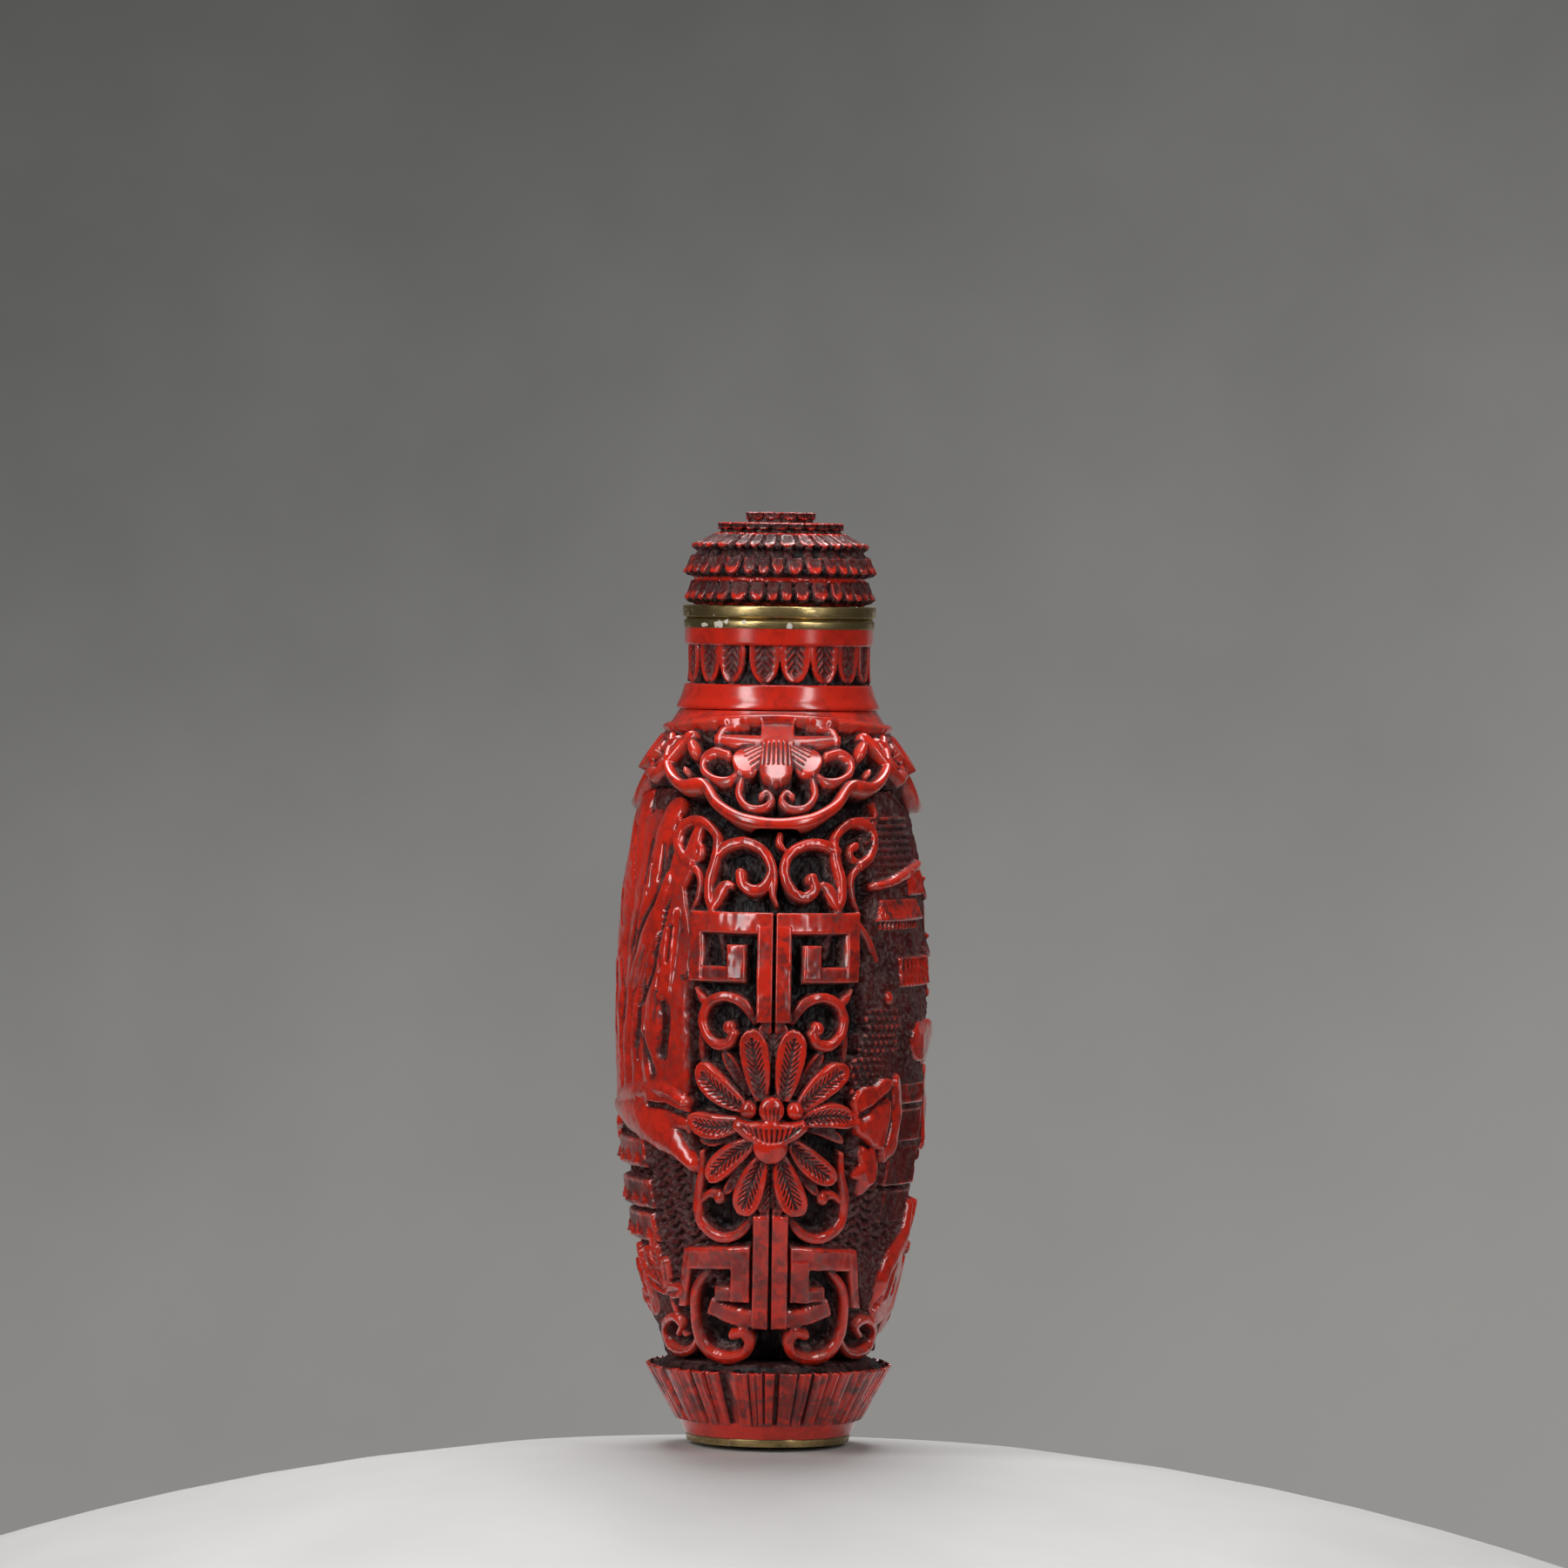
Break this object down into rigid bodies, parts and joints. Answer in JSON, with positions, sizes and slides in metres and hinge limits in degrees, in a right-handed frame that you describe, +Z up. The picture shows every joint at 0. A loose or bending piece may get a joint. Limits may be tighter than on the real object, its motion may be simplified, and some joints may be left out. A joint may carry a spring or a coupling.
{
  "type": "snuff bottle",
  "caption": "Carved red lacquer snuff bottle with a flattened oval body, round neck, flared foot, brass bands and a domed petal stopper.",
  "frame": {"origin": "middle of the foot's underside", "axes": "+Z up to the stopper's crown, X the thin way of the flattened body, -Y the narrow side that the picture shows"},
  "size_m": [0.0269, 0.0444, 0.08],
  "materials": {
    "red_lacquer": "carved cinnabar lacquer, worn gloss on the tops, dark in the cuts",
    "brass": "aged brass, dull and lightly scratched"
  },
  "bodies": {
    "root": {"foot_plate": "brass", "bottle_body": "red_lacquer", "neck_lip": "brass", "stopper_collar": "brass", "stopper_cap": "red_lacquer"}
  },
  "joints": []
}
